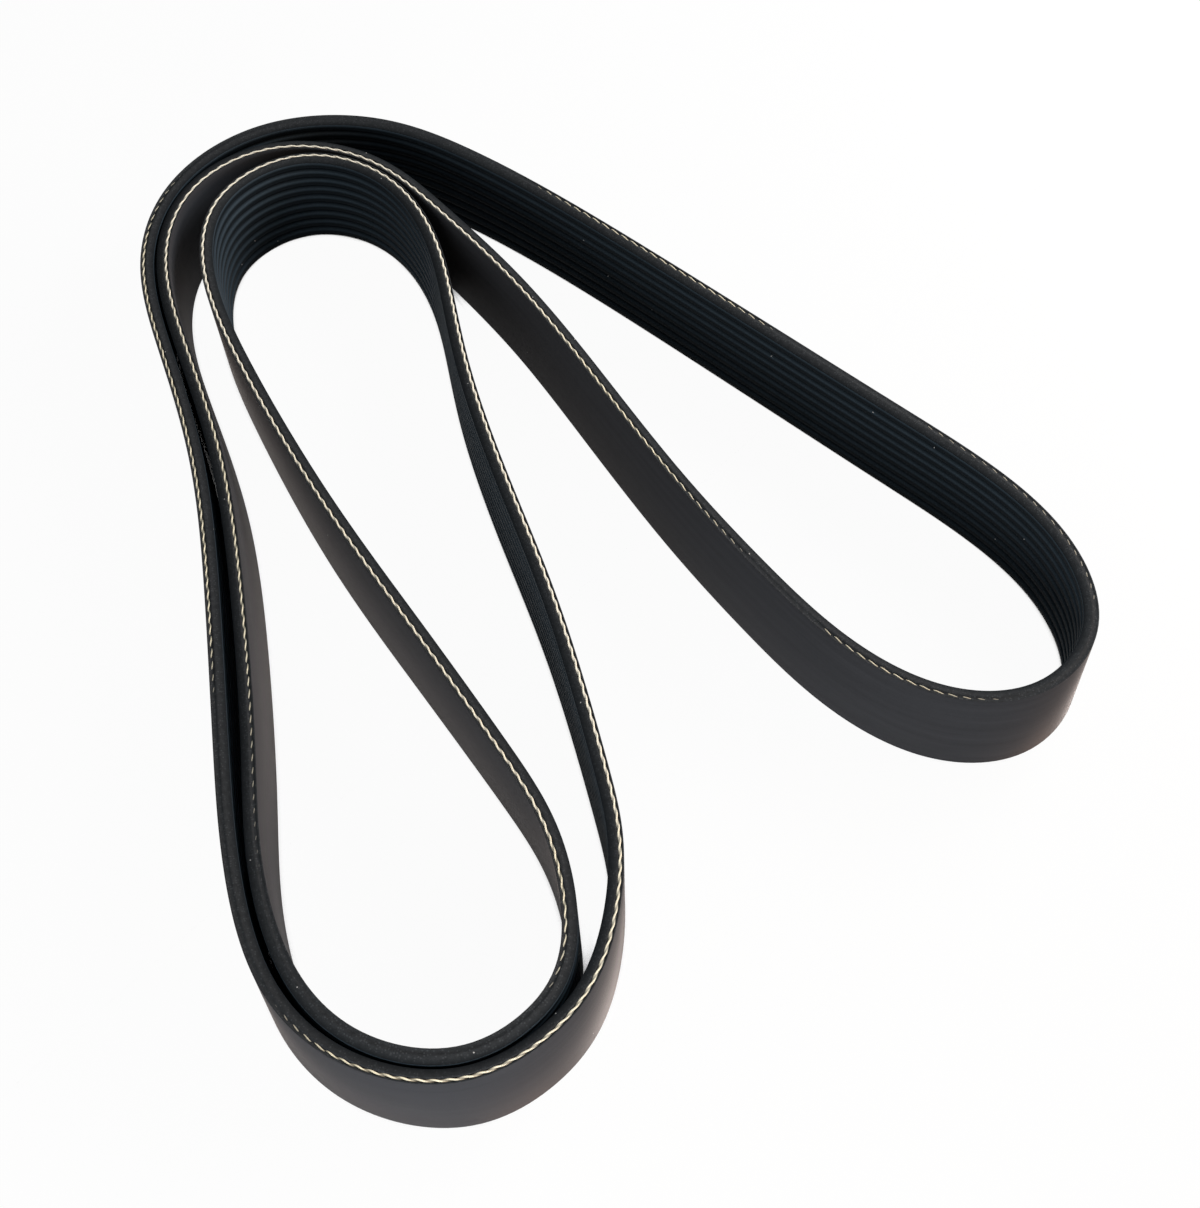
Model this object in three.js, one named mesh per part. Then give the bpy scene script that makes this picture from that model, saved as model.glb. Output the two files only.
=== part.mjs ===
// Multi-ribbed serpentine drive belt: one endless loop of moulded rubber, standing on its cut edge
// and folded loosely back beside itself, the way a new belt lies when it is unpacked.
//
// The belt is one section carried along one closed line. The line is the top edge of the smooth back, and
// the ribs stand on the left of the direction of travel. Millimetres, +Z up. The origin is the middle of
// the footprint, on the surface that the belt stands on.
import * as THREE from 'three';

// Length round the smooth back
const BELT_LENGTH = 2057;

// The ribs
const RIB_COUNT = 9;
const RIB_PITCH = 3.56;
const RIB_HEIGHT = 2;
const GROOVE_ANGLE_DEGREES = 40;

// The one turn of reinforcing cord that the cut edge lays bare, the rubber over it on the smooth back, and
// the rubber under it above the floors of the grooves
const CORD_DIAMETER = 1;
const BACK_COVER = 0.45;
const UNDER_CORD = 0.45;
const CORD_FACETS = 4;

// Sections along the loop
const STATION_COUNT = 150;
const STATION_SAMPLES = 4000;
const STRAIGHT_RUN_WEIGHT = 0.05;

// Posts that the line passes through, in the order of travel. The third number is the lean: how far the
// belt's foot stands out from there, towards its ribs.
const TOP_STRAND = [[84, 39, 0.3], [39, 79.5, 0.2], [-2.5, 116, 0.1]];
const TOP_ARC = [[-35, 141, 0], [-66, 156, -0.1], [-101, 154, -0.1], [-127, 131, -0.1], [-133.5, 96.5, -0.1]];
const LEFT_SIDE = [
	[-123.5, 59.5, -0.1], [-111, 19.5, 0], [-103, -24.5, 0.1], [-97, -68, 0.2], [-91.5, -101.5, 0.2],
];
const BOTTOM_ARC = [
	[-81, -132, 0.1], [-60.5, -152, -0.1], [-34, -157.5, -0.3], [-12.5, -148, -0.4], [1.5, -129, -0.4],
	[6.5, -101.5, -0.2],
];
const RIGHT_SIDE = [[2.5, -73.5, 0], [-8.5, -29, 0.2], [-22.5, 14.5, 0.4], [-34, 55, 0.6]];
const INNER_TOP_ARC = [
	[-40.5, 89, 0.7], [-48.5, 114, 0.7], [-64.5, 134, 0.6], [-90.5, 140.5, 0.6], [-113, 123, 0.7],
	[-114.5, 91, 0.9],
];
const DIAGONAL = [[-99.5, 53, 0.4], [-75, 7.5, -0.7], [-49, -34, -0.6], [-26, -70.5, 0.1], [-12.5, -97, 0.5]];
const MIDDLE_ARC = [[-68, 137, 1.3], [-46, 116, 0.4]];
const RIGHT_STRAND = [[-23.5, 87.5, -0.7], [-2.5, 54.5, -1.4], [21, 14.5, -1.1], [43.5, -18.5, -0.9]];
const END_LOBE = [
	[64.5, -43.5, -0.8], [89.5, -59.5, -0.7], [116.5, -58.5, -0.6], [133, -37, -0.2], [127, -7, 0.2], [108, 17, 0.3],
];

// After the diagonal the belt doubles back rib to rib beside its own outer turn: round the bottom, up the
// left side and over into the top. For each outer post passed: the gap between the rib tips, and the lean.
const NEST = [
	[4, 0.7], [1.2, 0.7], [0.8, 0.5], [1, 0.4], [1.8, 0.2], [1.8, -0.2], [3, -0.6],
	[2.8, -1.3], [1.8, -1.7], [1, -1.5], [0.8, -0.9], [0.8, 0.1], [4.4, 1.1],
];
const NEST_START = BOTTOM_ARC[4];

// Worked out from the sizes above
const BELT_WIDTH = RIB_COUNT * RIB_PITCH;
const GROOVE_FLOOR = BACK_COVER + CORD_DIAMETER + UNDER_CORD;
const BELT_THICKNESS = GROOVE_FLOOR + RIB_HEIGHT;
const FLANK_RUN = RIB_HEIGHT * Math.tan(THREE.MathUtils.degToRad(GROOVE_ANGLE_DEGREES / 2));

const rubber = new THREE.MeshStandardMaterial({ color: 0x1d1f21, roughness: 0.75, metalness: 0 });
const polyester = new THREE.MeshStandardMaterial({ color: 0xd9cda6, roughness: 0.85, metalness: 0 });

// Closed, smooth line through posts: a uniform cubic B-spline whose control points are relaxed until the
// line passes through every post.
class LineThroughPosts extends THREE.Curve {

	constructor(posts, passes = 60) {

		super();
		this.arcLengthDivisions = STATION_SAMPLES;
		const count = posts.length;
		this.controls = posts.map((post) => post.clone());
		for (let pass = 0; pass < passes; pass ++) {

			this.controls.forEach((control, k) => {

				const before = this.controls[(k + count - 1) % count];
				const after = this.controls[(k + 1) % count];
				control.copy(posts[k]).multiplyScalar(6).sub(before).sub(after).divideScalar(4);

			});

		}

	}

	// Sum of the four control points round t, each times its weight over six
	blend(t, weightsAt, target) {

		const count = this.controls.length;
		const place = t * count;
		const first = Math.floor(place);
		target.set(0, 0, 0);
		weightsAt(place - first).forEach((weight, k) => {

			target.addScaledVector(this.controls[(first + k + count - 1) % count], weight / 6);

		});
		return target;

	}

	getPoint(t, target = new THREE.Vector3()) {

		const rising = (f) => - 3 * f ** 3 + 3 * f ** 2 + 3 * f + 1;
		const weights = (f) => [(1 - f) ** 3, rising(1 - f), rising(f), f ** 3];
		return this.blend(t, weights, target);

	}

	getTangent(t, target = new THREE.Vector3()) {

		const slopes = (f) => [- ((1 - f) ** 2), 3 * f ** 2 - 4 * f, - 3 * f ** 2 + 2 * f + 1, f ** 2];
		return this.blend(t, slopes, target).normalize();

	}

}

// The direction of the ribs at a place where the belt travels in the given direction
function ribSide(travel) {

	return new THREE.Vector3(- travel.y, travel.x, 0).normalize();

}

// A post of the line: where it stands, spread from the middle by the factor, with the lean as its z
function toPost([x, y, lean], spread) {

	return new THREE.Vector3(x * spread, y * spread, lean);

}

// The post level with post k of a run, on its ribbed side, where the back of a second run stands so that
// the two runs face each other rib to rib across the gap
function placeBeside(run, k, [gap, lean]) {

	const arriving = run[k].clone().sub(run[k - 1]);
	const leaving = run[k + 1].clone().sub(run[k]);
	const travel = arriving.clone().setLength(leaving.length());
	travel.add(leaving.clone().setLength(arriving.length()));
	const post = run[k].clone().addScaledVector(ribSide(travel), 2 * BELT_THICKNESS + gap);
	return post.setZ(lean);

}

function makeRoute(spread) {

	const outerPosts = [
		...TOP_STRAND, ...TOP_ARC, ...LEFT_SIDE, ...BOTTOM_ARC, ...RIGHT_SIDE, ...INNER_TOP_ARC, ...DIAGONAL,
	];
	const innerPosts = [...MIDDLE_ARC, ...RIGHT_STRAND, ...END_LOBE];
	const outerTurn = outerPosts.map((post) => toPost(post, spread));
	const innerRun = innerPosts.map((post) => toPost(post, spread));
	const nestStart = outerPosts.indexOf(NEST_START);
	const nested = NEST.map((place, k) => placeBeside(outerTurn, nestStart - k, place));
	return new LineThroughPosts([...outerTurn, ...nested, ...innerRun]);

}

// The route with its posts spread or drawn in until it has the belt's length
function fitRoute(passes = 4) {

	let spread = 1;
	let route = makeRoute(spread);
	for (let pass = 0; pass < passes; pass ++) {

		spread *= BELT_LENGTH / route.getLength();
		route = makeRoute(spread);

	}

	return route;

}

// Places along the route for the sections, closer together where the belt bends more tightly
function chooseStations(route) {

	const costs = [0];
	let tangent = route.getTangent(0);
	let point = route.getPoint(0);
	for (let k = 1; k <= STATION_SAMPLES; k ++) {

		const nextTangent = route.getTangent(k / STATION_SAMPLES);
		const nextPoint = route.getPoint(k / STATION_SAMPLES);
		const step = nextPoint.distanceTo(point);
		const bend = nextTangent.angleTo(tangent) / step;
		costs.push(costs[k - 1] + step * (Math.sqrt(bend) + STRAIGHT_RUN_WEIGHT));
		tangent = nextTangent;
		point = nextPoint;

	}

	const stations = [];
	let sample = 0;
	for (let k = 0; k < STATION_COUNT; k ++) {

		const wanted = costs[STATION_SAMPLES] * k / STATION_COUNT;
		while (costs[sample + 1] <= wanted) sample ++;
		const part = (wanted - costs[sample]) / (costs[sample + 1] - costs[sample]);
		const t = (sample + part) / STATION_SAMPLES;
		const edge = route.getPoint(t);
		stations.push({ edge, ribs: ribSide(route.getTangent(t)), lean: edge.z });

	}

	return stations;

}

// Round seat of the cord in the top edge, from its ribbed side to its back side. A section's points are
// given by their depth from the smooth back and their height above the ground.
function cordSeat() {

	const radius = CORD_DIAMETER / 2;
	const seat = [];
	for (let k = 0; k <= CORD_FACETS; k ++) {

		const angle = Math.PI * k / CORD_FACETS;
		seat.push({
			depth: BACK_COVER + radius * (1 + Math.cos(angle)),
			height: BELT_WIDTH - radius * Math.sin(angle),
		});

	}

	return seat;

}

// Outline of the rubber: up the ribs from the bottom edge, then back over the top edge and its cord seat
function beltSection() {

	const section = [{ depth: 0, height: 0 }];
	for (let rib = 0; rib < RIB_COUNT; rib ++) {

		const low = rib * RIB_PITCH;
		section.push({ depth: GROOVE_FLOOR, height: low });
		section.push({ depth: BELT_THICKNESS, height: low + FLANK_RUN });
		section.push({ depth: BELT_THICKNESS, height: low + RIB_PITCH - FLANK_RUN });

	}

	section.push({ depth: GROOVE_FLOOR, height: BELT_WIDTH });
	section.push(...cordSeat());
	section.push({ depth: 0, height: BELT_WIDTH });
	return section;

}

// Closed ring made by carrying a section round all the stations. Every four-cornered patch is split from
// its corner nearer the back, so that two rings that share an edge of their sections meet face to face.
function sweepRing(section, stations) {

	const positions = [];
	for (const { edge, ribs, lean } of stations) {

		for (const { depth, height } of section) {

			const out = depth + lean * (1 - height / BELT_WIDTH);
			positions.push(edge.x + ribs.x * out, edge.y + ribs.y * out, height);

		}

	}

	const indices = [];
	const corner = (station, k) => (station % stations.length) * section.length + (k % section.length);
	for (let station = 0; station < stations.length; station ++) {

		for (let k = 0; k < section.length; k ++) {

			const a = corner(station, k);
			const b = corner(station, k + 1);
			const c = corner(station + 1, k + 1);
			const d = corner(station + 1, k);
			const nearerBackFirst = section[k].depth < section[(k + 1) % section.length].depth;
			indices.push(...(nearerBackFirst ? [a, b, c, a, c, d] : [a, b, d, b, c, d]));

		}

	}

	const ring = new THREE.BufferGeometry();
	ring.setAttribute('position', new THREE.Float32BufferAttribute(positions, 3));
	ring.setIndex(indices);
	ring.computeVertexNormals();
	return ring;

}

function makeMesh(name, geometry, material) {

	const mesh = new THREE.Mesh(geometry, material);
	mesh.name = name;
	return mesh;

}

const stations = chooseStations(fitRoute());
const belt = new THREE.Group();
belt.name = 'serpentine_belt';
belt.add(makeMesh('ribbed_belt', sweepRing(beltSection(), stations), rubber));
belt.add(makeMesh('tensile_cord', sweepRing(cordSeat().reverse(), stations), polyester));

// The footprint's middle goes to the origin
const middle = new THREE.Box3().setFromObject(belt).getCenter(new THREE.Vector3());
belt.position.set(- middle.x, - middle.y, 0);

export default belt;
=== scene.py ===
"""Dresses the serpentine belt: a fine ribbed rubber loop with its twisted cord bare along the cut edge.

The belt is one section carried along one closed line, the top edge of its smooth back. Metres, +Z up.
"""

import bpy
import numpy as np
from bpy.props import FloatProperty, FloatVectorProperty, IntProperty, PointerProperty
from mathutils import Matrix


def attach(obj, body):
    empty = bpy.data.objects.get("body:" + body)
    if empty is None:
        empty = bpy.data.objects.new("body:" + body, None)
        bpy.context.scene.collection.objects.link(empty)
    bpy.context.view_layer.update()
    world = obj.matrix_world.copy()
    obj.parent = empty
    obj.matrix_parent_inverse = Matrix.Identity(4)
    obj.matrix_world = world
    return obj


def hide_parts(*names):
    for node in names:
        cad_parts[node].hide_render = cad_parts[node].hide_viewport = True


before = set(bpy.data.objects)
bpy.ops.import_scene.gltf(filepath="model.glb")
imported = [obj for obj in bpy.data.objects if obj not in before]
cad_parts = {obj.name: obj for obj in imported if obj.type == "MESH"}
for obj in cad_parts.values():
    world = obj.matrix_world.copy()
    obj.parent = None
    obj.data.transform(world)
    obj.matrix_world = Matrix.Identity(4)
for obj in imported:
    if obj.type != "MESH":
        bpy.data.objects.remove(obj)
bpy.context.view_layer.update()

bl_info = {
    "name": "Serpentine Belt",
    "version": (1, 0, 0),
    "blender": (4, 5, 0),
    "location": "3D View > Sidebar > Belt",
    "description": "A ribbed drive belt standing slack on its cut edge",
    "category": "Add Mesh",
}

MM = 0.001

# Posts that the top edge of the back passes through, in the order of travel, in millimetres. The third
# number is the lean: how far the belt's foot stands out from there, towards its ribs.
TOP_STRAND = [(84, 39, 0.3), (39, 79.5, 0.2), (-2.5, 116, 0.1)]
TOP_ARC = [(-35, 141, 0), (-66, 156, -0.1), (-101, 154, -0.1), (-127, 131, -0.1), (-133.5, 96.5, -0.1)]
LEFT_SIDE = [
    (-123.5, 59.5, -0.1), (-111, 19.5, 0), (-103, -24.5, 0.1), (-97, -68, 0.2), (-91.5, -101.5, 0.2),
]
BOTTOM_ARC = [
    (-81, -132, 0.1), (-60.5, -152, -0.1), (-34, -157.5, -0.3), (-12.5, -148, -0.4), (1.5, -129, -0.4),
    (6.5, -101.5, -0.2),
]
RIGHT_SIDE = [(2.5, -73.5, 0), (-8.5, -29, 0.2), (-22.5, 14.5, 0.4), (-34, 55, 0.6)]
INNER_TOP_ARC = [
    (-40.5, 89, 0.7), (-48.5, 114, 0.7), (-64.5, 134, 0.6), (-90.5, 140.5, 0.6), (-113, 123, 0.7),
    (-114.5, 91, 0.9),
]
DIAGONAL = [(-99.5, 53, 0.4), (-75, 7.5, -0.7), (-49, -34, -0.6), (-26, -70.5, 0.1), (-12.5, -97, 0.5)]
MIDDLE_ARC = [(-68, 137, 1.3), (-46, 116, 0.4)]
RIGHT_STRAND = [(-23.5, 87.5, -0.7), (-2.5, 54.5, -1.4), (21, 14.5, -1.1), (43.5, -18.5, -0.9)]
END_LOBE = [
    (64.5, -43.5, -0.8), (89.5, -59.5, -0.7), (116.5, -58.5, -0.6), (133, -37, -0.2), (127, -7, 0.2),
    (108, 17, 0.3),
]
OUTER_TURN = [*TOP_STRAND, *TOP_ARC, *LEFT_SIDE, *BOTTOM_ARC, *RIGHT_SIDE, *INNER_TOP_ARC, *DIAGONAL]
INNER_RUN = [*MIDDLE_ARC, *RIGHT_STRAND, *END_LOBE]

# The nested run goes back beside the outer turn: the gap between the rib tips and the lean at each outer
# post that it passes, in millimetres.
NEST = [
    (4, 0.7), (1.2, 0.7), (0.8, 0.5), (1, 0.4), (1.8, 0.2), (1.8, -0.2), (3, -0.6),
    (2.8, -1.3), (1.8, -1.7), (1, -1.5), (0.8, -0.9), (0.8, 0.1), (4.4, 1.1),
]
NEST_START = OUTER_TURN.index(BOTTOM_ARC[4])

# How bare the cord lies along the cut edge: millimetres from the first post, and 0 buried to 1 laid open
CORD_SHOWS = [
    (0, 0.12), (36, 0.12), (42, 0.3), (55, 0.37), (110, 0.37), (126, 0.3), (136, 0.12), (148, 0),
    (254, 0.12), (264, 0.26), (284, 0.36), (300, 0.6), (400, 0.55), (430, 0.42), (445, 0.3), (455, 0.2),
    (462, 0.12), (536, 0.12), (546, 0.26), (556, 0.36), (575, 0.7), (600, 0.8), (660, 0.8), (700, 1),
    (1040, 1), (1080, 0.88), (1215, 0.88), (1238, 0.45), (1248, 0.34), (1257, 0.24), (1262, 0.12),
    (1344, 0.12), (1354, 0.19), (1380, 0.25), (1400, 0.3), (1420, 0.4), (1440, 0.55), (1500, 0.75),
    (1600, 1), (1700, 1), (1740, 0.85), (1790, 0.55), (1815, 0.36), (1836, 0.27), (1842, 0.12),
    (1866, 0.12), (1872, 0.33), (1890, 0.37), (1903, 0.35), (1912, 0.29), (1922, 0.22), (1928, 0.12),
    (1960, 0.12), (1970, 0.24), (2000, 0.26), (2040, 0.25), (2049, 0.12),
]

# Sections along the belt and the cord, points round the cord, samples that the line is measured with, and
# points on a rounded corner and on the cord's seat
BELT_STATIONS = 1000
CORD_STATIONS = 5800
CORD_SIDES = 16
LINE_SAMPLES = 12000
CORNER_STEPS = 3
SEAT_POINTS = 9

# A rib starts with its groove's corner, and goes on with its lower and upper tip corners
CORNERS_PER_RIB = 3

# Rounding of the section's corners
TIP_EASE = 0.22 * MM
GROOVE_EASE = 0.3 * MM
EDGE_EASE = 0.12 * MM

# The twisted cord, as shares of its diameter: its radius and how far that swings, how deep its middle lies
# where it is laid open and where it is buried, and how far it stands above the edge and wanders sideways
CORD_RADIUS = 0.36
CORD_SWING = 0.12
LAID_OPEN_DEPTH = 0.32
BURIED_DEPTH = 0.66
CORD_PROUD = 0.12
CORD_WANDER = 0.03

# A buried cord shows this share of its width, and all of it from this bareness on. The seat sinks this many
# times as fast as the cord is laid bare.
BURIED_WIDTH = 0.72
FULL_WIDTH_BARE = 0.7
SEAT_RATE = 1.4

# Places of the three finishes in the rubber's list of materials, and how deep a side of the section still
# counts as back, and how high as foot
BACK_FINISH, RIB_FINISH, EDGE_FINISH = 0, 1, 2
BACK_REACH = EDGE_EASE / 2
FOOT_REACH = EDGE_EASE / 4

# Colours beside those of the finishes: specks of dust, cord smeared with rubber or bleached where it is most
# bare, and the back's sheen
DUST_COLOUR = (0.4, 0.4, 0.39)
CORD_SMEAR_COLOUR = (0.1, 0.096, 0.088)
CORD_BLEACHED_COLOUR = (0.95, 0.91, 0.79)
BACK_SHEEN = (1.0, 0.84, 0.76, 1.0)

# The studio: each lamp is a name, a place, a side, a power in watts and a colour, and shines at the origin.
# The floor glows white to the camera, except in gaps, where shade is painted: where less than the lower
# share of the sky above it is open within the reach, its glow is gone and it is as dark as the painted gap
# shade, and it gets pale up to the higher share.
LAMPS = [
    ("back_softbox", (0.38, 0.28, 0.33), 0.3, 3.7, (0.94, 0.97, 1.0)),
    ("right_softbox", (0.58, 0.0, 0.25), 0.3, 2.6, (1.0, 0.7, 0.52)),
    ("front_softbox", (-0.05, -0.45, 0.12), 0.18, 1.8, (1.0, 0.99, 0.99)),
]
AMBIENT = 0.2
FLOOR_GLOW = 0.96
GAP_REACH = 0.008
GAP_OPENNESS = (0.38, 0.48)
PAINTED_GAP_SHADE = (0.02, 0.02, 0.02)
WHITE = (1.0, 1.0, 1.0, 1.0)
SIDE_HELPER = (0.0, 1.0, 0.001)

# The camera that the reference view was taken with, in the part's frame
CAMERA_PLACE = (2.22 * MM, -296.34 * MM, 452.8 * MM)
CAMERA_DIP = 1.0046
CAMERA_ROLL = 0.0244
FOCAL_PIXELS = 1883.5
FRAME_LONG_SIDE = 1208
SENSOR_WIDTH = 36.0


# Sizes and colours


class BeltSizes(bpy.types.PropertyGroup):
    length: FloatProperty(
        name="Length", description="Length round the smooth back", default=2057 * MM, unit="LENGTH"
    )
    rib_count: IntProperty(name="Ribs", description="Number of ribs across the belt", default=9, min=1)
    rib_pitch: FloatProperty(
        name="Rib Pitch", description="Distance from rib to rib", default=3.56 * MM, unit="LENGTH"
    )
    rib_height: FloatProperty(
        name="Rib Height", description="Height of a rib above its grooves", default=2 * MM, unit="LENGTH"
    )
    groove_half_angle: FloatProperty(
        name="Groove Half Angle", description="Angle of a rib's flank", default=0.349066, unit="ROTATION"
    )
    back_cover: FloatProperty(
        name="Back Cover", description="Rubber between back and cord", default=0.45 * MM, unit="LENGTH"
    )
    cord_diameter: FloatProperty(
        name="Cord Diameter", description="Thickness of the cord's seat", default=1 * MM, unit="LENGTH"
    )
    under_cord: FloatProperty(
        name="Under Cord", description="Rubber between cord and grooves", default=0.45 * MM, unit="LENGTH"
    )
    strand_pitch: FloatProperty(
        name="Strand Pitch", description="Distance between strands along the cord", default=3.75 * MM,
        unit="LENGTH",
    )


class BeltFinish(bpy.types.PropertyGroup):
    back_colour: FloatVectorProperty(
        name="Back", description="Smooth back", subtype="COLOR", default=(0.0275, 0.0290, 0.0325)
    )
    rib_colour: FloatVectorProperty(
        name="Ribs", description="Ground ribs", subtype="COLOR", default=(0.0044, 0.0063, 0.0080)
    )
    edge_colour: FloatVectorProperty(
        name="Cut Edge", description="Knife-cut edge", subtype="COLOR", default=(0.0228, 0.0250, 0.0270)
    )
    cord_colour: FloatVectorProperty(
        name="Cord", description="Bare polyester cord", subtype="COLOR", default=(0.88, 0.81, 0.6)
    )


class StudioSettings(bpy.types.PropertyGroup):
    floor_size: FloatProperty(
        name="Floor Size", description="Side of the square floor", default=8.0, unit="LENGTH"
    )
    floor_colour: FloatVectorProperty(
        name="Floor", description="Pale floor", subtype="COLOR", default=(0.62, 0.62, 0.62)
    )
    lamp_level: FloatProperty(name="Lamp Level", description="Strength of all the lamps", default=1.0)


# The line that the belt follows


def unit(vectors):
    """Vectors divided by their own length."""
    return vectors / np.linalg.norm(vectors, axis=-1, keepdims=True)


def rib_side(travel):
    """Direction of the ribs: the direction of travel turned a quarter to the left, in the ground plane."""
    return unit(np.stack([-travel[..., 1], travel[..., 0]], axis=-1))


def belt_thickness(sizes):
    """Cover, cord, rubber under it and ribs, one on another."""
    return sizes.back_cover + sizes.cord_diameter + sizes.under_cord + sizes.rib_height


def belt_width(sizes):
    """Number of ribs times their pitch."""
    return sizes.rib_count * sizes.rib_pitch


def belt_posts(spread, sizes):
    """Posts (x, y, lean) in travel order, their places spread by a factor.

    A nested post stands beside an outer one, on its ribbed side, two thicknesses and a gap away. Its
    direction of travel is the mean of the two chords that meet there, each weighted by the other's length.
    """
    outer = np.array(OUTER_TURN) * MM * (spread, spread, 1)
    inner = np.array(INNER_RUN) * MM * (spread, spread, 1)
    passed = NEST_START - np.arange(len(NEST))
    arriving = (outer[passed] - outer[passed - 1])[:, :2]
    leaving = (outer[passed + 1] - outer[passed])[:, :2]
    lengths = [np.linalg.norm(chord, axis=1, keepdims=True) for chord in (arriving, leaving)]
    travel = arriving * lengths[1] / lengths[0] + leaving * lengths[0] / lengths[1]
    gap, lean = (np.array(NEST) * MM).T
    place = outer[passed, :2] + rib_side(travel) * (2 * belt_thickness(sizes) + gap)[:, None]
    return np.vstack([outer, np.column_stack([place, lean]), inner])


def controls_through(posts):
    """Controls of the closed cubic B-spline through the posts.

    Each post is a sixth of the sum of the control before it, four times its own and the one after it, so
    the controls solve that ring of equations.
    """
    own = np.eye(len(posts))
    return np.linalg.solve(4 * own + np.roll(own, 1, axis=1) + np.roll(own, -1, axis=1), 6 * posts)


def blend_controls(controls, turns, weights):
    """Sum of the four controls round each turn (0 to 1), times their weights over six."""
    place = turns * len(controls)
    first = np.floor(place).astype(int)
    near = controls[(first[:, None] + np.arange(-1, 3)) % len(controls)]
    return np.einsum("nk,nkc->nc", np.stack(weights(place - first), axis=1) / 6, near)


def middle_weight(part):
    """Six times the weight of a control next to the point: -3 p^3 + 3 p^2 + 3 p + 1."""
    return -3 * part**3 + 3 * part**2 + 3 * part + 1


def point_weights(f):
    """Six times the cubic B-spline's weights of four controls, a share f of the way past the second."""
    return [(1 - f) ** 3, middle_weight(1 - f), middle_weight(f), f**3]


def slope_weights(f):
    """Twice the slopes of those weights, which give the direction of travel."""
    return [-((1 - f) ** 2), 3 * f**2 - 4 * f, -3 * f**2 + 2 * f + 1, f**2]


def measured_line(spread, sizes):
    """Controls of the line, and the distance travelled at evenly spaced turns.

    The distance is the sum of the straight steps between samples, from 0 to the whole length.
    """
    controls = controls_through(belt_posts(spread, sizes))
    turns = np.linspace(0, 1, LINE_SAMPLES + 1)
    points = blend_controls(controls, turns, point_weights)[:, :2]
    steps = np.linalg.norm(np.diff(points, axis=0), axis=1)
    return controls, np.concatenate([[0], np.cumsum(steps)])


def belt_line(sizes, passes=4):
    """The line with its posts spread or drawn in until it has the belt's length."""
    spread = 1.0
    controls, travelled = measured_line(spread, sizes)
    for _ in range(passes):
        spread *= sizes.length / travelled[-1]
        controls, travelled = measured_line(spread, sizes)
    return controls, travelled


def stations_at(line, distances):
    """Places, rib directions and leans at distances along the line, by interpolating the turn."""
    controls, travelled = line
    turns = np.interp(distances, travelled, np.linspace(0, 1, len(travelled))) % 1.0
    points = blend_controls(controls, turns, point_weights)
    travel = blend_controls(controls, turns, slope_weights)
    return points[:, :2], rib_side(travel), points[:, 2]


def footprint_middle(line, sizes):
    """Middle of the box round the back and the rib tips, at the top and at the foot."""
    places, ribs, lean = stations_at(line, np.linspace(0, sizes.length, LINE_SAMPLES, endpoint=False))
    depths = (0, belt_thickness(sizes))
    rows = [places + ribs * (depth + foot * lean)[:, None] for depth in depths for foot in (0, 1)]
    every = np.vstack(rows)
    return (every.min(axis=0) + every.max(axis=0)) / 2


def carry_section(line, sizes, distances, depth, height):
    """Grid of points: a section carried along the line.

    A point stands at its place plus the rib direction times its depth and its share of the lean, which
    falls from all of it at the foot to none at the top. depth and height are (stations, points) arrays.
    """
    places, ribs, lean = stations_at(line, distances)
    out = depth + lean[:, None] * (1 - height / belt_width(sizes))
    ground = places[:, None] + ribs[:, None] * out[..., None] - footprint_middle(line, sizes)
    return np.concatenate([ground, height[..., None]], axis=2)


# The two sections


def eased_corners(corners, cuts):
    """Closed outline with its corners rounded.

    A corner c becomes the quadratic Bezier arc (1-t)^2 a + 2t(1-t) c + t^2 b, where a and b lie on its two
    sides, a cut away from it.
    """
    before = unit(np.roll(corners, 1, axis=0) - corners) * cuts[:, None]
    after = unit(np.roll(corners, -1, axis=0) - corners) * cuts[:, None]
    t = np.linspace(0, 1, CORNER_STEPS)[None, :, None]
    arcs = corners[:, None] + (1 - t) ** 2 * before[:, None] + t**2 * after[:, None]
    return arcs.reshape(-1, 2)


def rubber_section(sizes):
    """Outline (depth, height, sink, upper tip) from the foot of the back, up the ribs and back over the top.

    A rib's flank goes out by the rib's height times the tangent of its angle. The cord's seat in the top
    edge is a half circle, which sinks as far as the cord is laid bare, and it goes in before the arc of the
    last corner. upper tip is 1 on each rib's upper corner and 0 elsewhere.
    """
    floor = sizes.back_cover + sizes.cord_diameter + sizes.under_cord
    flank = sizes.rib_height * np.tan(sizes.groove_half_angle)
    low = np.arange(sizes.rib_count)[:, None] * sizes.rib_pitch
    rib_heights = low + np.array([0, flank, sizes.rib_pitch - flank])
    tip = floor + sizes.rib_height
    rib_depths = np.broadcast_to([floor, tip, tip], rib_heights.shape)
    top = belt_width(sizes)
    ribs = np.column_stack([rib_depths.ravel(), rib_heights.ravel()])
    corners = np.vstack([[0, 0], ribs, [floor, top], [0, top]])
    cuts = np.tile([GROOVE_EASE, TIP_EASE, TIP_EASE], sizes.rib_count)
    cuts = np.concatenate([[EDGE_EASE], cuts, [EDGE_EASE, EDGE_EASE]])
    foot_corner = 1
    cuts[foot_corner] = EDGE_EASE
    outline = eased_corners(corners, cuts)
    angle = np.linspace(0, np.pi, SEAT_POINTS)
    radius = sizes.cord_diameter / 2
    seat = np.column_stack([sizes.back_cover + radius * (1 + np.cos(angle)), np.full(SEAT_POINTS, top)])
    seat_start = len(outline) - CORNER_STEPS
    corner_number = np.repeat(np.arange(len(corners)), CORNER_STEPS)
    last_rib_corner = CORNERS_PER_RIB * sizes.rib_count
    on_ribs = (corner_number > 0) & (corner_number <= last_rib_corner)
    upper_tip = on_ribs & (corner_number % CORNERS_PER_RIB == 0)
    return np.insert(
        np.column_stack([outline, np.zeros(len(outline)), upper_tip]),
        seat_start,
        np.column_stack([seat, radius * np.sin(angle), np.zeros(SEAT_POINTS)]),
        axis=0,
    )


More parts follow.
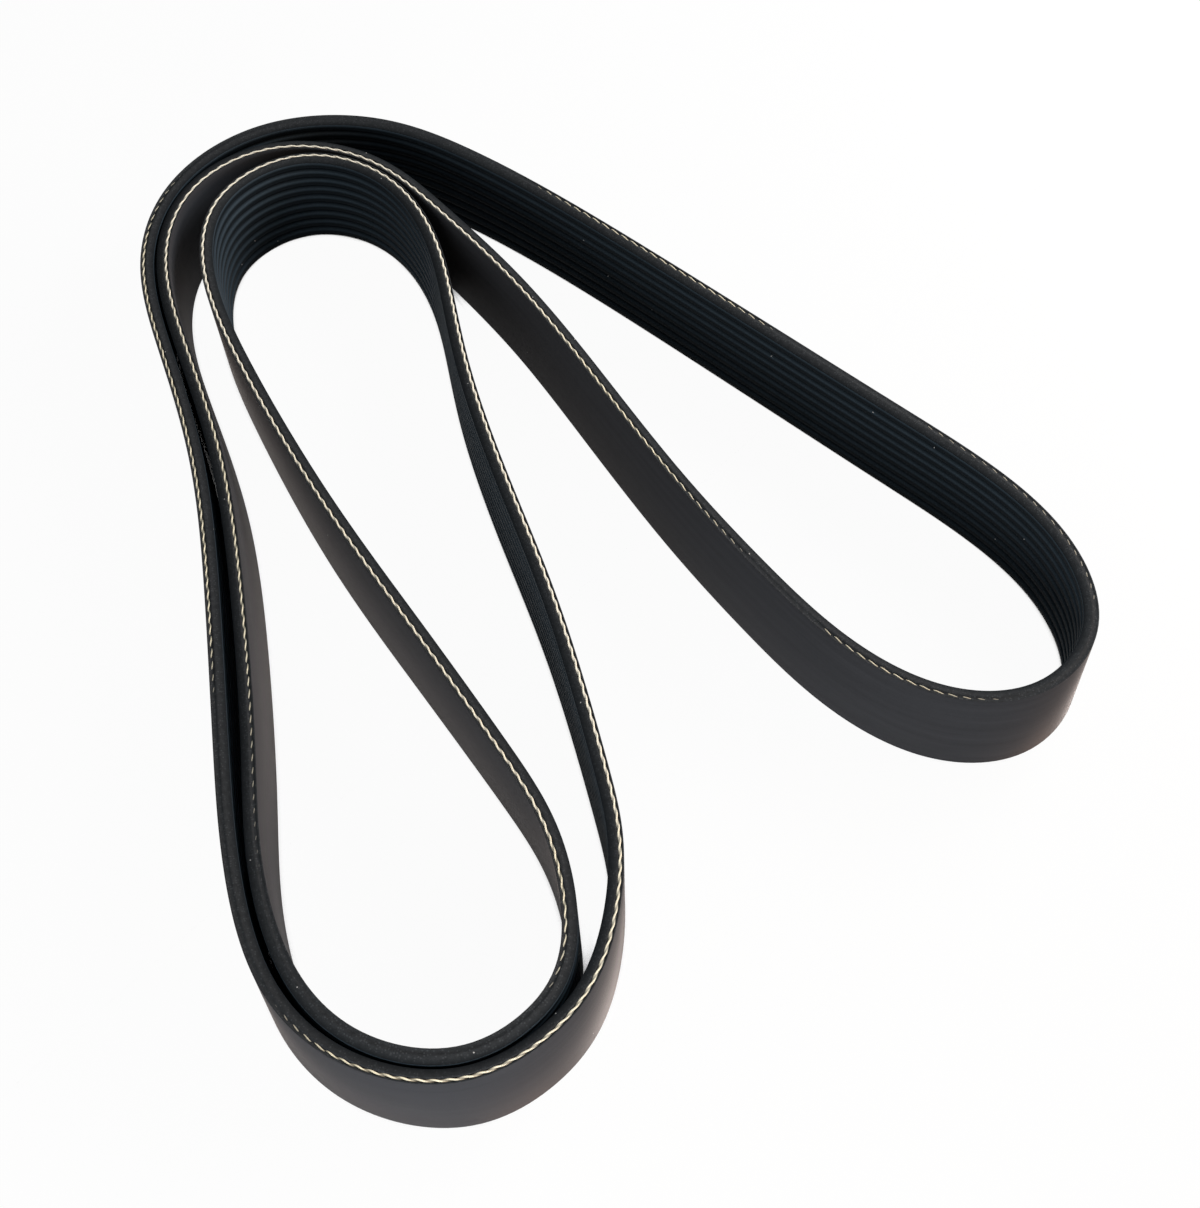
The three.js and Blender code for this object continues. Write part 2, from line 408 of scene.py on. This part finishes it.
def cord_bareness(distances, length):
    """How bare the cord lies at distances along the belt, straight between the listed places."""
    places, bare = np.array(CORD_SHOWS).T
    return np.interp(distances, places * MM, bare, period=length)


def cord_grid(sizes, distances):
    """Depths and heights of a twisted cord, and how far each point stands on a strand's crest (0 to 1).

    The radius is the mean radius plus the swing times cos(2 angle - phase), and the phase gains a whole turn
    in each strand pitch, while the middle wanders sideways with its sine. The middle's depth goes from
    buried to laid open in step with the bareness, and the cord's width from a share of it to all of it.
    What would stand over the cut edge is pressed down to the edge plus proud (1 - exp(-over / proud)).
    """
    mean_radius, swing = CORD_RADIUS * sizes.cord_diameter, CORD_SWING * sizes.cord_diameter
    laid_open, buried = LAID_OPEN_DEPTH * sizes.cord_diameter, BURIED_DEPTH * sizes.cord_diameter
    proud = CORD_PROUD * sizes.cord_diameter
    angle = np.linspace(0, 2 * np.pi, CORD_SIDES, endpoint=False)[None, :]
    strands = np.round(sizes.length / sizes.strand_pitch)
    phase = (2 * np.pi * strands * distances / sizes.length)[:, None]
    wave = np.cos(2 * angle - phase)
    radius = mean_radius + swing * wave
    bare = cord_bareness(distances, sizes.length)[:, None]
    wander = CORD_WANDER * sizes.cord_diameter * np.sin(phase)
    shown_width = BURIED_WIDTH + (1 - BURIED_WIDTH) * np.clip(bare / FULL_WIDTH_BARE, 0, 1)
    depth = sizes.back_cover + sizes.cord_diameter / 2 + wander + shown_width * radius * np.cos(angle)
    top = belt_width(sizes)
    height = top - (buried + (laid_open - buried) * bare) + radius * np.sin(angle)
    over = np.clip(height - top, 0, None)
    height = np.where(over > 0, top + proud * (1 - np.exp(-over / proud)), height)
    return depth, height, 0.5 + 0.5 * wave, np.broadcast_to(bare, wave.shape)


# Meshes


def closed_ring(name, points, run, girth):
    """Mesh of a grid (stations, around) that closes both ways, facing outwards.

    Its UV map is the distance along the belt and round the section, in metres, and goes on to the full
    distance at the closing faces. run and girth hold one value more than the grid, the full distance.
    """
    stations, around = points.shape[:2]
    here = np.arange(stations * around).reshape(stations, around)
    ahead = np.roll(here, -1, axis=0)
    faces = np.stack([here, np.roll(here, -1, axis=1), np.roll(ahead, -1, axis=1), ahead], axis=-1)
    mesh = bpy.data.meshes.new(name)
    mesh.vertices.add(stations * around)
    mesh.vertices.foreach_set("co", points.astype(np.float32).ravel())
    mesh.loops.add(faces.size)
    mesh.loops.foreach_set("vertex_index", faces.astype(np.int32).ravel())
    mesh.polygons.add(stations * around)
    mesh.polygons.foreach_set("loop_start", np.arange(0, faces.size, 4, dtype=np.int32))
    mesh.polygons.foreach_set("use_smooth", np.ones(stations * around, dtype=bool))
    mesh.update(calc_edges=True)
    along = np.broadcast_to(np.stack([run[:-1], run[:-1], run[1:], run[1:]], axis=-1)[:, None], faces.shape)
    across = np.broadcast_to(np.stack([girth[:-1], girth[1:], girth[1:], girth[:-1]], axis=-1), faces.shape)
    surface = mesh.uv_layers.new(name="belt_run")
    surface.data.foreach_set("uv", np.stack([along, across], axis=-1).astype(np.float32).ravel())
    return mesh


def write_attribute(mesh, name, values):
    """One value for each point of the mesh."""
    attribute = mesh.attributes.new(name, "FLOAT", "POINT")
    attribute.data.foreach_set("value", values.astype(np.float32).ravel())


def show_piece(name, mesh, node, materials):
    """Puts a mesh into the scene in place of a CAD node."""
    piece = bpy.data.objects.new(name, mesh)
    bpy.context.scene.collection.objects.link(piece)
    for material in materials:
        mesh.materials.append(material)
    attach(piece, "root")
    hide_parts(node)


# Shader building

# Places of a Mix node's two numbers, and of its two colours and mixed colour, among its sockets
MIX_NUMBER_INPUTS = (2, 3)
MIX_COLOUR_INPUTS = (6, 7)
MIX_COLOUR_OUTPUT = 2

# How many drifts of tone go with one grain
DRIFT_PER_GRAIN = 0.23


def lay_node(tree, kind, column, row, **settings):
    """Adds a node at a column and row of the tree, with its settings."""
    node = tree.nodes.new(kind)
    node.location = (column * 220, row * -220)
    for setting, value in settings.items():
        setattr(node, setting, value)
    return node


def set_inputs(node, **values):
    """Plain values of a node's inputs; an underscore in a name stands for a space."""
    for name, value in values.items():
        node.inputs[name.replace("_", " ")].default_value = value
    return node


def new_group(name, inputs, outputs):
    """Empty shader node group with its sockets, each a name and a kind, and a default for inputs."""
    if name in bpy.data.node_groups:
        return bpy.data.node_groups[name], None, None
    tree = bpy.data.node_groups.new(name, "ShaderNodeTree")
    for socket, kind, default in inputs:
        entry = tree.interface.new_socket(socket, in_out="INPUT", socket_type=kind)
        if default is not None:
            entry.default_value = default
    for socket, kind in outputs:
        tree.interface.new_socket(socket, in_out="OUTPUT", socket_type=kind)
    return tree, lay_node(tree, "NodeGroupInput", 0, 0), lay_node(tree, "NodeGroupOutput", 6, 0)


def rubber_grain():
    """Fine grain of moulded or cut rubber: a height, and a tone that drifts over a few grains.

    The height is fine noise, and the tone is half that noise and half a coarser one.
    """
    tree, given, result = new_group(
        "Rubber Grain",
        [("Vector", "NodeSocketVector", None), ("Grains per Metre", "NodeSocketFloat", 5000.0)],
        [("Height", "NodeSocketFloat"), ("Tone", "NodeSocketFloat")],
    )
    if given is None:
        return tree
    link = tree.links.new
    fine = set_inputs(lay_node(tree, "ShaderNodeTexNoise", 2, 0), Detail=3.0, Roughness=0.6)
    coarser = lay_node(tree, "ShaderNodeMath", 1, 1, operation="MULTIPLY")
    coarser.inputs[1].default_value = DRIFT_PER_GRAIN
    drift = set_inputs(lay_node(tree, "ShaderNodeTexNoise", 2, 1), Detail=2.0, Roughness=0.5)
    tone = set_inputs(lay_node(tree, "ShaderNodeMapRange", 4, 1), From_Min=0.3, From_Max=0.7)
    mixed = lay_node(tree, "ShaderNodeMix", 3, 1, data_type="FLOAT")
    mixed.inputs[0].default_value = 0.5
    link(given.outputs["Vector"], fine.inputs["Vector"])
    link(given.outputs["Grains per Metre"], fine.inputs["Scale"])
    link(given.outputs["Grains per Metre"], coarser.inputs[0])
    link(given.outputs["Vector"], drift.inputs["Vector"])
    link(coarser.outputs[0], drift.inputs["Scale"])
    for place, noise in zip(MIX_NUMBER_INPUTS, (fine, drift)):
        link(noise.outputs["Fac"], mixed.inputs[place])
    link(mixed.outputs[0], tone.inputs["Value"])
    link(fine.outputs["Fac"], result.inputs["Height"])
    link(tone.outputs["Result"], result.inputs["Tone"])
    return tree


def run_streaks():
    """Faint streaks that run along the belt: noise on the surface, drawn out along the run."""
    tree, given, result = new_group(
        "Run Streaks",
        [
            ("Vector", "NodeSocketVector", None),
            ("Streaks per Metre", "NodeSocketFloat", 900.0),
            ("Draw Out", "NodeSocketFloat", 0.03),
        ],
        [("Streak", "NodeSocketFloat")],
    )
    if given is None:
        return tree
    link = tree.links.new
    along = lay_node(tree, "ShaderNodeMath", 1, 0, operation="MULTIPLY")
    stretch = lay_node(tree, "ShaderNodeCombineXYZ", 2, 0)
    scaled = lay_node(tree, "ShaderNodeVectorMath", 3, 0, operation="MULTIPLY")
    noise = set_inputs(lay_node(tree, "ShaderNodeTexNoise", 4, 0), Scale=1.0, Detail=2.0, Roughness=0.55)
    spread = set_inputs(lay_node(tree, "ShaderNodeMapRange", 5, 0), From_Min=0.3, From_Max=0.7)
    link(given.outputs["Streaks per Metre"], along.inputs[0])
    link(given.outputs["Draw Out"], along.inputs[1])
    link(along.outputs[0], stretch.inputs["X"])
    link(given.outputs["Streaks per Metre"], stretch.inputs["Y"])
    link(given.outputs["Vector"], scaled.inputs[0])
    link(stretch.outputs[0], scaled.inputs[1])
    link(scaled.outputs[0], noise.inputs["Vector"])
    link(noise.outputs["Fac"], spread.inputs["Value"])
    link(spread.outputs["Result"], result.inputs["Streak"])
    return tree


def dust_specks():
    """Scattered pale specks: round spots in a few of the cells of a Voronoi pattern."""
    tree, given, result = new_group(
        "Dust Specks",
        [
            ("Vector", "NodeSocketVector", None),
            ("Cells per Metre", "NodeSocketFloat", 160.0),
            ("Speck Size", "NodeSocketFloat", 0.03),
            ("Share", "NodeSocketFloat", 0.2),
        ],
        [("Speck", "NodeSocketFloat")],
    )
    if given is None:
        return tree
    link = tree.links.new
    cells = lay_node(tree, "ShaderNodeTexVoronoi", 2, 0, voronoi_dimensions="2D")
    chosen = lay_node(tree, "ShaderNodeMath", 4, 1, operation="LESS_THAN")
    small = lay_node(tree, "ShaderNodeMath", 4, 0, operation="LESS_THAN")
    both = lay_node(tree, "ShaderNodeMath", 5, 0, operation="MULTIPLY")
    parts = lay_node(tree, "ShaderNodeSeparateColor", 3, 1)
    link(given.outputs["Vector"], cells.inputs["Vector"])
    link(given.outputs["Cells per Metre"], cells.inputs["Scale"])
    link(cells.outputs["Distance"], small.inputs[0])
    link(given.outputs["Speck Size"], small.inputs[1])
    link(cells.outputs["Color"], parts.inputs[0])
    link(parts.outputs["Red"], chosen.inputs[0])
    link(given.outputs["Share"], chosen.inputs[1])
    link(small.outputs[0], both.inputs[0])
    link(chosen.outputs[0], both.inputs[1])
    link(both.outputs[0], result.inputs["Speck"])
    return tree


def new_material(name):
    """Material with its Principled shader, and the belt's own surface map."""
    material = bpy.data.materials.new(name)
    material.use_nodes = True
    tree = material.node_tree
    tree.nodes.clear()
    shader = lay_node(tree, "ShaderNodeBsdfPrincipled", 7, 0)
    output = lay_node(tree, "ShaderNodeOutputMaterial", 9, 0)
    surface = lay_node(tree, "ShaderNodeUVMap", 0, 0, uv_map="belt_run")
    tree.links.new(shader.outputs["BSDF"], output.inputs["Surface"])
    return material, tree, shader, surface


def use_group(tree, group, column, row, vector, **values):
    """Places a node group, feeds it the surface map and sets its other inputs."""
    node = lay_node(tree, "ShaderNodeGroup", column, row, node_tree=group)
    set_inputs(node, **values)
    tree.links.new(vector, node.inputs["Vector"])
    return node


def mix_colours(tree, column, row, factor, first, second):
    """Mix of two colours; each is a socket or a plain colour."""
    node = lay_node(tree, "ShaderNodeMix", column, row, data_type="RGBA")
    for place, value in zip(MIX_COLOUR_INPUTS, (first, second)):
        if isinstance(value, bpy.types.NodeSocket):
            tree.links.new(value, node.inputs[place])
        else:
            node.inputs[place].default_value = (*value, 1.0)
    tree.links.new(factor, node.inputs[0])
    return node.outputs[MIX_COLOUR_OUTPUT]


def range_of(tree, column, row, value, low, high, start=0.0, end=1.0):
    """A value between start and end, mapped to low and high."""
    node = set_inputs(
        lay_node(tree, "ShaderNodeMapRange", column, row),
        From_Min=start,
        From_Max=end,
        To_Min=low,
        To_Max=high,
    )
    tree.links.new(value, node.inputs["Value"])
    return node.outputs["Result"]


def add_bump(tree, shader, height, distance, strength):
    """Turns a height into the shader's normal."""
    bump = set_inputs(lay_node(tree, "ShaderNodeBump", 5, 3), Distance=distance, Strength=strength)
    tree.links.new(height, bump.inputs["Height"])
    tree.links.new(bump.outputs["Normal"], shader.inputs["Normal"])


def tinted(colour, factor):
    """A colour made lighter or darker by a factor."""
    return tuple(channel * factor for channel in colour)


def smooth_back_rubber(finish):
    """Satin moulded rubber of the back, with faint streaks along the run and a few specks of dust."""
    material, tree, shader, surface = new_material("smooth_back_rubber")
    link = tree.links.new
    uv = surface.outputs["UV"]
    grain = use_group(tree, rubber_grain(), 1, 0, uv, Grains_per_Metre=3500.0)
    streaks = use_group(tree, run_streaks(), 1, 1, uv, Streaks_per_Metre=420.0, Draw_Out=0.06)
    specks = use_group(tree, dust_specks(), 1, 2, uv, Cells_per_Metre=70.0, Speck_Size=0.014, Share=0.05)
    dark_streak = tinted(finish.back_colour, 0.88)
    pale_streak = tinted(finish.back_colour, 1.12)
    pale_grain = tinted(finish.back_colour, 1.35)
    base = mix_colours(tree, 3, 0, streaks.outputs["Streak"], dark_streak, pale_streak)
    tone = range_of(tree, 3, 2, grain.outputs["Tone"], low=0.0, high=0.35)
    grained = mix_colours(tree, 4, 0, tone, base, pale_grain)
    dusty = mix_colours(tree, 5, 0, specks.outputs["Speck"], grained, DUST_COLOUR)
    roughness = range_of(tree, 4, 2, grain.outputs["Tone"], low=0.46, high=0.56)
    link(dusty, shader.inputs["Base Color"])
    link(roughness, shader.inputs["Roughness"])
    set_inputs(shader, Specular_IOR_Level=0.008)
    set_inputs(shader, Sheen_Weight=0.22, Sheen_Roughness=0.28, Sheen_Tint=BACK_SHEEN)
    add_bump(tree, shader, grain.outputs["Height"], distance=0.03 * MM, strength=0.5)
    return material


def ground_rib_rubber(finish):
    """Near-black ground ribs, with a painted highlight along their upper corners and fine grinding lines
    along the run.
    """
    material, tree, shader, surface = new_material("ground_rib_rubber")
    link = tree.links.new
    uv = surface.outputs["UV"]
    corner = lay_node(tree, "ShaderNodeAttribute", 0, 2, attribute_name="tip_corner")
    grain = use_group(tree, rubber_grain(), 1, 0, uv, Grains_per_Metre=4500.0)
    streaks = use_group(tree, run_streaks(), 1, 1, uv, Streaks_per_Metre=2600.0, Draw_Out=0.012)
    specks = use_group(tree, dust_specks(), 1, 2, uv, Cells_per_Metre=110.0, Speck_Size=0.022, Share=0.1)
    dark_line = tinted(finish.rib_colour, 0.8)
    pale_line = tinted(finish.rib_colour, 1.3)
    pale_grain = tinted(finish.rib_colour, 2.2)
    # Painted highlight: the upper corner of each rib is made seven times paler, as where light from above
    # catches it
    painted_corner_highlight = tinted(finish.rib_colour, 7.0)
    tips = range_of(tree, 2, 3, corner.outputs["Fac"], low=0.0, high=1.0, start=0.5, end=1.0)
    base = mix_colours(tree, 3, 0, streaks.outputs["Streak"], dark_line, pale_line)
    tipped = mix_colours(tree, 4, 0, tips, base, painted_corner_highlight)
    tone = range_of(tree, 3, 2, grain.outputs["Tone"], low=0.0, high=0.3)
    grained = mix_colours(tree, 5, 0, tone, tipped, pale_grain)
    dusty = mix_colours(tree, 6, 0, specks.outputs["Speck"], grained, DUST_COLOUR)
    roughness = range_of(tree, 4, 2, streaks.outputs["Streak"], low=0.52, high=0.68)
    link(dusty, shader.inputs["Base Color"])
    link(roughness, shader.inputs["Roughness"])
    set_inputs(shader, Specular_IOR_Level=0.015)
    add_bump(tree, shader, streaks.outputs["Streak"], distance=0.04 * MM, strength=0.4)
    return material


def cut_edge_rubber(finish):
    """Matte knife-cut edge: charcoal speckled with chopped fibre, darkening towards the rib tips."""
    material, tree, shader, surface = new_material("cut_edge_rubber")
    link = tree.links.new
    uv = surface.outputs["UV"]
    crest = lay_node(tree, "ShaderNodeAttribute", 0, 3, attribute_name="rib_crest")
    grain = use_group(tree, rubber_grain(), 1, 0, uv, Grains_per_Metre=3200.0)
    fibres = use_group(tree, dust_specks(), 1, 1, uv, Cells_per_Metre=1500.0, Speck_Size=0.32, Share=0.3)
    specks = use_group(tree, dust_specks(), 1, 2, uv, Cells_per_Metre=200.0, Speck_Size=0.035, Share=0.04)
    dark_grain = tinted(finish.edge_colour, 0.65)
    pale_grain = tinted(finish.edge_colour, 1.5)
    pale_fibre = tinted(finish.edge_colour, 2.4)
    base = mix_colours(tree, 3, 0, grain.outputs["Tone"], dark_grain, pale_grain)
    fibre_mask = range_of(tree, 3, 2, fibres.outputs["Speck"], low=0.0, high=0.5)
    fibred = mix_colours(tree, 4, 0, fibre_mask, base, pale_fibre)
    ground = range_of(tree, 4, 3, crest.outputs["Fac"], low=0.0, high=0.8, start=0.6, end=1.0)
    faded = mix_colours(tree, 5, 0, ground, fibred, finish.rib_colour)
    dusty = mix_colours(tree, 6, 0, specks.outputs["Speck"], faded, DUST_COLOUR)
    roughness = range_of(tree, 4, 2, grain.outputs["Tone"], low=0.7, high=0.88)
    link(dusty, shader.inputs["Base Color"])
    link(roughness, shader.inputs["Roughness"])
    set_inputs(shader, Specular_IOR_Level=0.04)
    add_bump(tree, shader, grain.outputs["Height"], distance=0.08 * MM, strength=0.8)
    return material


def twisted_cord_polyester(finish):
    """Cream polyester yarn: pale strands with painted shade between them.

    It is smeared with rubber where it dips in.
    """
    material, tree, shader, surface = new_material("twisted_cord_polyester")
    link = tree.links.new
    uv = surface.outputs["UV"]
    crest = lay_node(tree, "ShaderNodeAttribute", 0, 2, attribute_name="strand_crest")
    bare = lay_node(tree, "ShaderNodeAttribute", 0, 3, attribute_name="laid_bare")
    grain = use_group(tree, rubber_grain(), 1, 0, uv, Grains_per_Metre=6000.0)
    # Painted shade: the cord's colour is darkened to 0.28 of itself in the valleys between its strands
    valley_shade = tinted(finish.cord_colour, 0.28)
    dull_fibre = tinted(finish.cord_colour, 0.7)
    ridge = range_of(tree, 2, 3, crest.outputs["Fac"], low=0.0, high=1.0, start=0.12, end=0.7)
    base = mix_colours(tree, 3, 0, ridge, valley_shade, finish.cord_colour)
    tone = range_of(tree, 3, 2, grain.outputs["Tone"], low=0.0, high=0.3)
    fibrous = mix_colours(tree, 4, 0, tone, base, dull_fibre)
    bleached = range_of(tree, 4, 4, bare.outputs["Fac"], low=0.0, high=0.55, start=0.7, end=1.0)
    whitened = mix_colours(tree, 5, 1, bleached, fibrous, CORD_BLEACHED_COLOUR)
    smeared = range_of(tree, 4, 3, bare.outputs["Fac"], low=1.0, high=0.0, start=0.2, end=0.41)
    sooty = mix_colours(tree, 6, 0, smeared, whitened, CORD_SMEAR_COLOUR)
    roughness = range_of(tree, 4, 2, grain.outputs["Tone"], low=0.75, high=0.9)
    link(sooty, shader.inputs["Base Color"])
    link(roughness, shader.inputs["Roughness"])
    add_bump(tree, shader, grain.outputs["Height"], distance=0.06 * MM, strength=0.7)
    return material


# Operators


def with_end(values, end):
    """Values with the full distance added at the end."""
    return np.append(values, end)


class BELT_OT_ribbed_belt(bpy.types.Operator):
    """Makes the rubber loop with its ribs, smooth back and cut edges"""

    bl_idname = "belt.ribbed_belt"
    bl_label = "Ribbed Belt"

    def execute(self, context):
        sizes, finish = context.scene.belt_sizes, context.scene.belt_finish
        line = belt_line(sizes)
        distances = np.linspace(0, sizes.length, BELT_STATIONS, endpoint=False)
        section = rubber_section(sizes)
        bare = cord_bareness(distances, sizes.length)[:, None]
        depth = np.broadcast_to(section[:, 0], (BELT_STATIONS, len(section)))
        height = section[:, 1] - section[:, 2] * np.clip(bare * SEAT_RATE, 0, 1)
        points = carry_section(line, sizes, distances, depth, height)
        sides = np.linalg.norm(np.roll(section, -1, axis=0)[:, :2] - section[:, :2], axis=1)
        girth = np.concatenate([[0], np.cumsum(sides)])
        mesh = closed_ring("ribbed_belt_rubber", points, with_end(distances, sizes.length), girth)
        write_attribute(mesh, "rib_crest", depth / belt_thickness(sizes))
        write_attribute(mesh, "tip_corner", np.broadcast_to(section[:, 3], depth.shape))
        middle = (section[:, :2] + np.roll(section, -1, axis=0)[:, :2]) / 2
        top_flank = sizes.rib_height * np.tan(sizes.groove_half_angle)
        on_edge = (middle[:, 1] < FOOT_REACH) | (middle[:, 1] > belt_width(sizes) - top_flank)
        inner_finish = np.where(on_edge, EDGE_FINISH, RIB_FINISH)
        side_finish = np.where(middle[:, 0] < BACK_REACH, BACK_FINISH, inner_finish)
        mesh.polygons.foreach_set("material_index", np.tile(side_finish, BELT_STATIONS).astype(np.int32))
        materials = [smooth_back_rubber(finish), ground_rib_rubber(finish), cut_edge_rubber(finish)]
        show_piece("belt_rubber", mesh, "ribbed_belt", materials)
        return {"FINISHED"}


class BELT_OT_tensile_cord(bpy.types.Operator):
    """Makes the twisted cord that lies in the top cut edge, bare in some stretches and buried in others"""

    bl_idname = "belt.tensile_cord"
    bl_label = "Tensile Cord"

    def execute(self, context):
        sizes, finish = context.scene.belt_sizes, context.scene.belt_finish
        line = belt_line(sizes)
        distances = np.linspace(0, sizes.length, CORD_STATIONS, endpoint=False)
        depth, height, crest, bare = cord_grid(sizes, distances)
        points = carry_section(line, sizes, distances, depth, height)
        girth = np.linspace(0, np.pi * sizes.cord_diameter, CORD_SIDES + 1)
        mesh = closed_ring("tensile_cord_yarn", points, with_end(distances, sizes.length), girth)
        write_attribute(mesh, "strand_crest", crest)
        write_attribute(mesh, "laid_bare", bare)
        show_piece("belt_cord", mesh, "tensile_cord", [twisted_cord_polyester(finish)])
        return {"FINISHED"}


# Stage


def camera_or_mirror_ray(tree, column, row):
    """1 for rays from the camera and for mirrored or refracted ones, otherwise 0."""
    path = lay_node(tree, "ShaderNodeLightPath", column, row)
    first = lay_node(tree, "ShaderNodeMath", column + 1, row, operation="MAXIMUM")
    second = lay_node(tree, "ShaderNodeMath", column + 2, row, operation="MAXIMUM")
    tree.links.new(path.outputs["Is Camera Ray"], first.inputs[0])
    tree.links.new(path.outputs["Is Glossy Ray"], first.inputs[1])
    tree.links.new(first.outputs[0], second.inputs[0])
    tree.links.new(path.outputs["Is Transmission Ray"], second.inputs[1])
    return second.outputs[0]


def floor_material(colour):
    """Plain pale floor that takes the belt's shadow, and glows white to the camera away from narrow gaps.

    In narrow gaps shade is painted: the glow fades out and the floor's colour turns dark.
    """
    material = bpy.data.materials.new("studio_floor")
    material.use_nodes = True
    tree = material.node_tree
    tree.nodes.clear()
    output = lay_node(tree, "ShaderNodeOutputMaterial", 4, 0)
    shader = lay_node(tree, "ShaderNodeBsdfDiffuse", 1, 0)
    glow = set_inputs(lay_node(tree, "ShaderNodeEmission", 1, 1), Color=WHITE, Strength=1.0)
    seen = camera_or_mirror_ray(tree, 0, 2)
    sky_share = set_inputs(lay_node(tree, "ShaderNodeAmbientOcclusion", 0, 1), Distance=GAP_REACH)
    openness = sky_share.outputs["AO"]
    shut, clear = GAP_OPENNESS
    # Painted shade: where the sky above is shut, the glow fades and the floor's colour turns to the dark gap
    # shade
    glow_level = range_of(tree, 1, 3, openness, low=0.0, high=FLOOR_GLOW, start=shut, end=clear)
    shaded = range_of(tree, 1, 4, openness, low=0.0, high=1.0, start=shut, end=clear)
    tree.links.new(mix_colours(tree, 2, 4, shaded, PAINTED_GAP_SHADE, colour), shader.inputs["Color"])
    glow_share = lay_node(tree, "ShaderNodeMath", 2, 2, operation="MULTIPLY")
    tree.links.new(seen, glow_share.inputs[0])
    tree.links.new(glow_level, glow_share.inputs[1])
    mix = lay_node(tree, "ShaderNodeMixShader", 3, 0)
    tree.links.new(glow_share.outputs[0], mix.inputs[0])
    tree.links.new(shader.outputs[0], mix.inputs[1])
    tree.links.new(glow.outputs[0], mix.inputs[2])
    tree.links.new(mix.outputs[0], output.inputs["Surface"])
    return material


def white_world(ambient):
    """White to the camera and in reflections, and a plain soft grey as light."""
    world = bpy.data.worlds.new("studio_world")
    world.use_nodes = True
    tree = world.node_tree
    tree.nodes.clear()
    output = lay_node(tree, "ShaderNodeOutputWorld", 5, 0)
    seen = camera_or_mirror_ray(tree, 0, 0)
    backdrop = set_inputs(lay_node(tree, "ShaderNodeBackground", 3, 0), Color=WHITE, Strength=1.0)
    light = set_inputs(lay_node(tree, "ShaderNodeBackground", 3, 1), Color=WHITE, Strength=ambient)
    mix = lay_node(tree, "ShaderNodeMixShader", 4, 0)
    tree.links.new(seen, mix.inputs[0])
    tree.links.new(light.outputs[0], mix.inputs[1])
    tree.links.new(backdrop.outputs[0], mix.inputs[2])
    tree.links.new(mix.outputs[0], output.inputs["Surface"])
    bpy.context.scene.world = world


def soft_lamp(name, place, aim, size, power, colour):
    """Square area lamp at a place, turned so that it shines at the aim.

    Its side is the cross product of the shine and a level direction that no lamp shines along, and its up is
    the cross product of the side and the shine.
    """
    lamp = bpy.data.lights.new(name, "AREA")
    lamp.shape = "SQUARE"
    lamp.size = size
    lamp.energy = power
    lamp.color = colour
    holder = bpy.data.objects.new(name, lamp)
    shine = unit(np.array(aim, float) - np.array(place, float))
    side = unit(np.cross(shine, SIDE_HELPER))
    up = np.cross(side, shine)
    turn = np.column_stack([side, up, -shine])
    holder.matrix_world = Matrix.Translation(place) @ Matrix(turn.tolist()).to_4x4()
    holder.visible_camera = False
    bpy.context.scene.collection.objects.link(holder)


def reference_camera():
    """Camera of the reference view: dipped below the horizon, looking along +Y, and rolled a little."""
    cos_dip, sin_dip = np.cos(CAMERA_DIP), np.sin(CAMERA_DIP)
    ahead = np.array([0, cos_dip, -sin_dip])
    level_right, level_down = np.array([1.0, 0, 0]), np.array([0, -sin_dip, -cos_dip])
    right = np.cos(CAMERA_ROLL) * level_right + np.sin(CAMERA_ROLL) * level_down
    down = np.cos(CAMERA_ROLL) * level_down - np.sin(CAMERA_ROLL) * level_right
    turn = Matrix(np.column_stack([right, -down, -ahead]).tolist())
    camera = bpy.data.cameras.new("reference_camera")
    camera.sensor_width = SENSOR_WIDTH
    camera.lens = FOCAL_PIXELS * SENSOR_WIDTH / FRAME_LONG_SIDE
    camera.clip_start = 0.01
    holder = bpy.data.objects.new("reference_camera", camera)
    holder.matrix_world = Matrix.Translation(CAMERA_PLACE) @ turn.to_4x4()
    bpy.context.scene.collection.objects.link(holder)
    bpy.context.scene.camera = holder


class BELT_OT_studio(bpy.types.Operator):
    """Makes the pale floor, the soft light and the camera of the reference view"""

    bl_idname = "belt.studio"
    bl_label = "Studio"

    def execute(self, context):
        studio = context.scene.belt_studio
        half = studio.floor_size / 2
        mesh = bpy.data.meshes.new("studio_floor")
        corners = [(-half, -half, 0), (half, -half, 0), (half, half, 0), (-half, half, 0)]
        mesh.from_pydata(corners, [], [(0, 1, 2, 3)])
        mesh.materials.append(floor_material(studio.floor_colour))
        floor = bpy.data.objects.new("studio_floor", mesh)
        context.scene.collection.objects.link(floor)
        white_world(AMBIENT)
        for name, place, size, power, colour in LAMPS:
            soft_lamp(name, place, (0, 0, 0), size, power * studio.lamp_level, colour)
        reference_camera()
        context.scene.view_settings.view_transform = "Standard"
        return {"FINISHED"}


class BELT_PT_panel(bpy.types.Panel):
    """Sizes, finishes and makers of the belt"""

    bl_idname = "BELT_PT_panel"
    bl_label = "Serpentine Belt"
    bl_space_type = "VIEW_3D"
    bl_region_type = "UI"
    bl_category = "Belt"

    def draw(self, context):
        layout = self.layout
        for settings in (context.scene.belt_sizes, context.scene.belt_finish, context.scene.belt_studio):
            for name in settings.__annotations__:
                layout.prop(settings, name)
        for operator in OPERATORS:
            layout.operator(operator.bl_idname)


OPERATORS = (BELT_OT_ribbed_belt, BELT_OT_tensile_cord, BELT_OT_studio)
SETTINGS = {"belt_sizes": BeltSizes, "belt_finish": BeltFinish, "belt_studio": StudioSettings}


def register():
    """Adds the settings, the operators and the panel."""
    for item in (*SETTINGS.values(), *OPERATORS, BELT_PT_panel):
        bpy.utils.register_class(item)
    for name, settings in SETTINGS.items():
        setattr(bpy.types.Scene, name, PointerProperty(type=settings))


def unregister():
    """Takes them away again."""
    for name in SETTINGS:
        delattr(bpy.types.Scene, name)
    for item in (BELT_PT_panel, *OPERATORS, *SETTINGS.values()):
        bpy.utils.unregister_class(item)


def main():
    """Makes the belt and the studio."""
    register()
    bpy.ops.belt.ribbed_belt()
    bpy.ops.belt.tensile_cord()
    bpy.ops.belt.studio()


if __name__ == "__main__":
    main()
